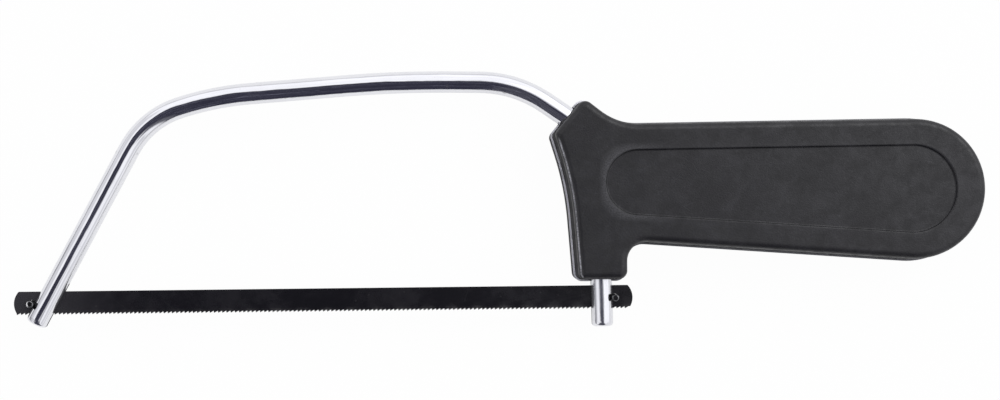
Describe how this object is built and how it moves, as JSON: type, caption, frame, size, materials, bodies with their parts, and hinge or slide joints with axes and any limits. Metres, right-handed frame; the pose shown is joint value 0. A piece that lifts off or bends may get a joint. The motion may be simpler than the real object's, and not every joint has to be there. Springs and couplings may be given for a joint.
{
  "type": "mini hacksaw",
  "caption": "Small hacksaw with a bent bright rod as a spring frame, a thin pinned blade with fine teeth and a dark moulded pistol grip.",
  "frame": {"origin": "middle of the bounding box's base, on the plane that the back of the grip rests on", "axes": "+X along the blade towards the grip, +Y from the blade towards the bow, +Z out of the front of the grip"},
  "size_m": [0.2436, 0.0648, 0.017],
  "materials": {
    "frame_chrome": "bright plating, polished",
    "handle_plastic": "charcoal, fine satin texture with faint scuffs",
    "screw_steel": "zinc plated",
    "blade_black": "blue-black oven coating, satin",
    "pin_steel": "blackened, bright at the rubbed rim"
  },
  "bodies": {
    "handle": {"handle_front_shell": "handle_plastic", "handle_back_shell": "handle_plastic", "frame_tang": "frame_chrome", "handle_screw_1": "screw_steel", "handle_screw_2": "screw_steel", "handle_screw_3": "screw_steel"},
    "bow": {"frame_bow": "frame_chrome"},
    "blade": {"blade_strip": "blade_black", "blade_front_pin": "pin_steel", "blade_rear_pin": "pin_steel"}
  },
  "joints": [
    {"name": "frame_flex", "type": "hinge", "parent": "handle", "child": "bow", "pos_m": [-0.04316, 0.0286, 0.0085], "axis": [0, 0, 1], "range_deg": [0, 3], "stiffness_Nm_per_rad": 8},
    {"name": "blade_swing", "type": "hinge", "parent": "handle", "child": "blade", "pos_m": [0.02977, -0.02517, 0.0085], "axis": [0, 0, 1], "range_deg": [0, 0.95]}
  ],
  "couplings": [
    {"joint": "blade_swing", "follows": "frame_flex", "ratio": 0.3}
  ]
}
